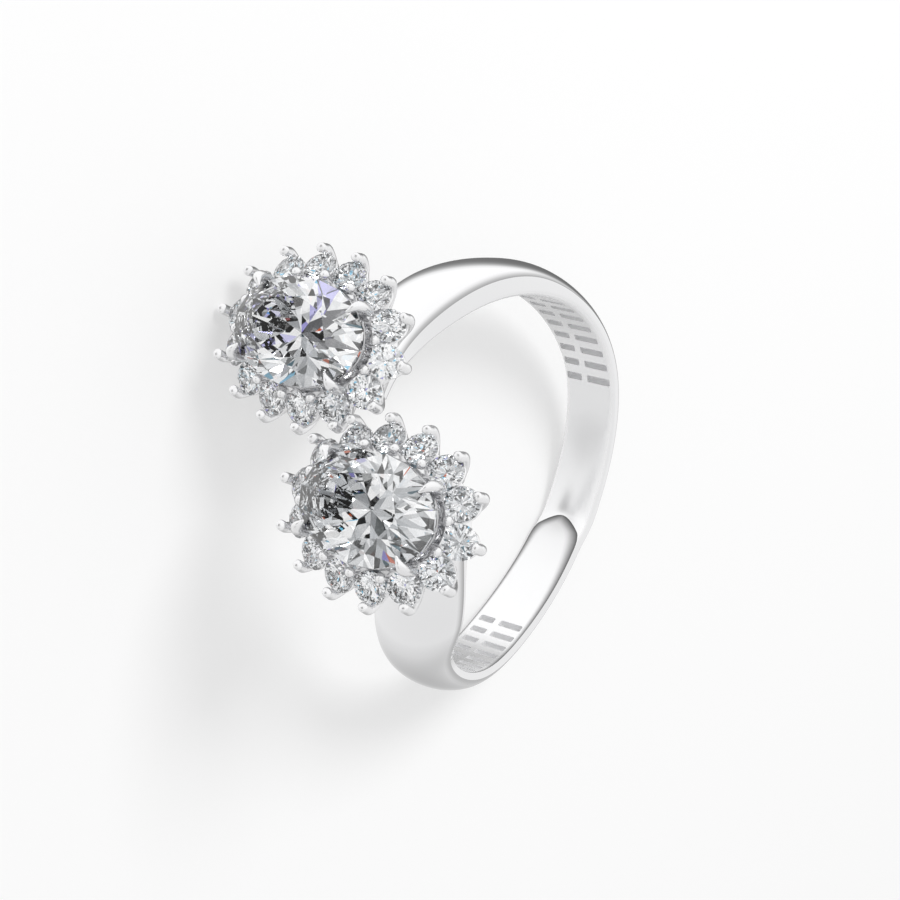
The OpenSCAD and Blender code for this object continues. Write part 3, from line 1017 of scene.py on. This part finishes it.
def make_world(camera):
    """A pale studio. What lights the floor is plain white, what the metal mirrors has a dark
    backdrop behind the ring, a grey one under it and cards, and the stones mirror shards of light."""
    world = bpy.data.worlds.new("studio")
    bpy.context.scene.world = world
    world.use_nodes = True
    tree = world.node_tree
    background = tree.nodes["Background"]
    place = tree.nodes.new("ShaderNodeTexCoord")
    path = tree.nodes.new("ShaderNodeLightPath")
    lie = camera.matrix_world.to_3x3()

    def greys_towards(way, greys):
        facing = towards(tree, place.outputs["Generated"], (lie @ Vector(way)).normalized())
        return grey_ramp(tree, facing, greys)

    mirrored = greys_towards(BACKDROP_WAY, BACKDROP_GREYS)
    for way, greys in [(UNDER_WAY, UNDER_GREYS)] + CARDS:
        mirrored = multiplied(tree, mirrored, greys_towards(way, greys))
    plain = tree.nodes.new("ShaderNodeRGB")
    plain.outputs[0].default_value = (*PLAIN_LIGHT, 1)
    shards = shards_of_light(tree, place.outputs["Generated"])
    result = mixed(tree, path.outputs["Is Glossy Ray"], plain.outputs[0], mirrored)
    result = mixed(tree, path.outputs["Is Transmission Ray"], result, shards)
    link(tree, result, background.inputs["Color"])
    background.inputs["Strength"].default_value = 1.0


def soft_light(name, place, target, size, power):
    light = bpy.data.lights.new(name, "AREA")
    light.shape = "DISK"
    light.size = size * MM
    light.energy = power
    made = linked(name, light)
    made.visible_glossy = False
    made.location = Vector(place) * MM
    made.rotation_mode = "QUATERNION"
    made.rotation_quaternion = (Vector(target) - Vector(place)).to_track_quat("-Z", "Y")


def make_camera():
    """Camera at the photograph's angle to the ring."""
    up = SEEN_STONES_UP.normalized()
    long_axis = (SEEN_LONG_AXIS - SEEN_LONG_AXIS.dot(up) * up).normalized()
    head_seen = Matrix((long_axis, up.cross(long_axis), up)).transposed()
    ring_seen = head_seen @ head_to_ring(True).to_3x3().inverted()
    middle = (head_to_ring(True).translation + head_to_ring(False).translation) / 2
    eye = middle - ring_seen.inverted() @ SEEN_MIDDLE
    lie = ring_to_row()
    data = bpy.data.cameras.new("camera")
    data.lens = LENS
    data.sensor_width = SENSOR_WIDTH
    data.clip_start, data.clip_end = 1 * MM, 10
    camera = linked("camera", data)
    camera.rotation_mode = "QUATERNION"
    camera.location = lie @ eye
    camera.rotation_quaternion = lie.to_quaternion() @ ring_seen.inverted().to_quaternion()
    bpy.context.scene.camera = camera
    bpy.context.view_layer.update()
    return camera


def make_ring():
    polish = polish_group()
    rims = rim_shade_group()
    shank_metal = rim_shaded(white_metal("shank", polish), rims)
    inside_metal = rim_shaded(white_metal("inside", polish), rims)
    pocket_metal = white_metal("pocket", polish)
    head_metal = white_metal("head", polish)
    rail_metal = white_metal("rail", polish)
    crown = crown_glass("stone_crown")
    pavilion = pavilion_mirror("centre_stone_pavilion", CENTRE_STONE_PAINTED_REFLECTIONS)
    halo_pavilion = pavilion_mirror("halo_stone_pavilion", HALO_STONE_PAINTED_REFLECTIONS)
    make_shank(shank_metal, pocket_metal, inside_metal)
    for upper in (True, False):
        make_base(upper, head_metal)
        make_seats(upper, head_metal)
        make_rail(upper, rail_metal)
        make_prongs(upper, head_metal)
        make_beads(upper, head_metal)
        make_claws(upper, head_metal)
        make_centre_stone(upper, [crown, pavilion])
        for k in range(HALO_COUNT):
            make_halo_stone(upper, k, [crown, halo_pavilion])


make_world(make_camera())
make_floor()
soft_light("key", KEY_PLACE, KEY_TARGET, KEY_SIZE, KEY_POWER)
make_ring()
bpy.context.scene.view_settings.view_transform = "Standard"
bpy.context.scene.cycles.glossy_bounces = 10
bpy.context.scene.cycles.transmission_bounces = 12
bpy.context.scene.cycles.max_bounces = 16
